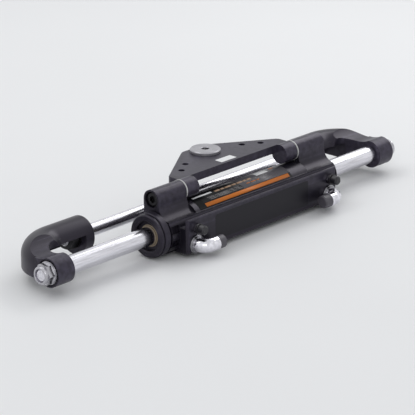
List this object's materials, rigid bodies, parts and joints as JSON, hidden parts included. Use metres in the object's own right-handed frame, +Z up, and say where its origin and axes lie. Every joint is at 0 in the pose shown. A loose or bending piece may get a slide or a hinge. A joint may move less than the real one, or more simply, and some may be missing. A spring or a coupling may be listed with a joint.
{
  "type": "hydraulic steering cylinder",
  "caption": "Front-mount hydraulic steering cylinder: a body slides on a rod held between two end brackets and carries a hinged plate for the tiller.",
  "frame": {"origin": "middle of the support rod, on its axis", "axes": "+X along both rods, +Y to the rear towards the engine, +Z up"},
  "size_m": [0.6166, 0.142, 0.0825],
  "materials": {
    "black_anodised": "satin black anodised aluminium",
    "polished_rod": "polished stainless steel",
    "bright_steel": "bright stainless steel",
    "chrome_fitting": "bright plated fitting",
    "white_polymer": "white low-friction plastic",
    "tan_wiper": "tan polyurethane",
    "black_rubber": "black rubber",
    "grey_cap": "dark grey plastic",
    "bronze_bush": "bronze-filled bearing",
    "satin_alloy": "satin turned alloy"
  },
  "bodies": {
    "frame": {"left_bracket": "black_anodised", "right_bracket": "black_anodised", "left_rod_washer": "bright_steel", "right_rod_washer": "bright_steel", "left_rod_nut": "bright_steel", "right_rod_nut": "bright_steel", "left_support_washer": "bright_steel", "right_support_washer": "bright_steel", "left_support_nut": "bright_steel", "right_support_nut": "bright_steel", "cylinder_rod": "polished_rod", "support_rod": "polished_rod", "piston": "satin_alloy", "piston_seal": "black_rubber", "piston_wear_rings": "bronze_bush", "piston_retaining_rings": "bright_steel"},
    "cylinder": {"cylinder_body": "black_anodised", "left_gland": "black_anodised", "right_gland": "black_anodised", "left_gland_seal": "black_rubber", "right_gland_seal": "black_rubber", "left_rod_wiper": "tan_wiper", "right_rod_wiper": "tan_wiper", "left_rod_seal": "black_rubber", "right_rod_seal": "black_rubber", "left_elbow": "chrome_fitting", "right_elbow": "chrome_fitting", "left_elbow_ring": "chrome_fitting", "right_elbow_ring": "chrome_fitting", "left_port_cap": "grey_cap", "right_port_cap": "grey_cap", "left_pivot_pin": "bright_steel", "right_pivot_pin": "bright_steel", "left_thrust_washer": "white_polymer", "right_thrust_washer": "white_polymer"},
    "plate": {"pivot_plate": "black_anodised", "left_plate_bush": "bronze_bush", "right_plate_bush": "bronze_bush"},
    "tiller": {"tiller_bushing": "satin_alloy", "tiller_snap_ring": "bright_steel"},
    "left_bleed": {"left_bleed_screw": "bright_steel", "left_bleed_cap": "black_rubber"},
    "right_bleed": {"right_bleed_screw": "bright_steel", "right_bleed_cap": "black_rubber"}
  },
  "joints": [
    {"name": "body_slide", "type": "slide", "parent": "frame", "child": "cylinder", "axis": [1, 0, 0], "range_m": [-0.1282, 0.075]},
    {"name": "plate_hinge", "type": "hinge", "parent": "cylinder", "child": "plate", "pos_m": [0.0266, -0.0522, 0.0365], "axis": [1, 0, 0], "range_deg": [-20, 60]},
    {"name": "tiller_turn", "type": "hinge", "parent": "plate", "child": "tiller", "pos_m": [0.0266, -0.0012, 0.0429], "axis": [0, 0, 1], "continuous": true},
    {"name": "left_bleed_turn", "type": "hinge", "parent": "cylinder", "child": "left_bleed", "pos_m": [-0.0924, -0.099, 0.005], "axis": [0, -1, 0], "range_deg": [0, 360]},
    {"name": "right_bleed_turn", "type": "hinge", "parent": "cylinder", "child": "right_bleed", "pos_m": [0.1456, -0.099, 0.005], "axis": [0, -1, 0], "range_deg": [0, 360]}
  ]
}
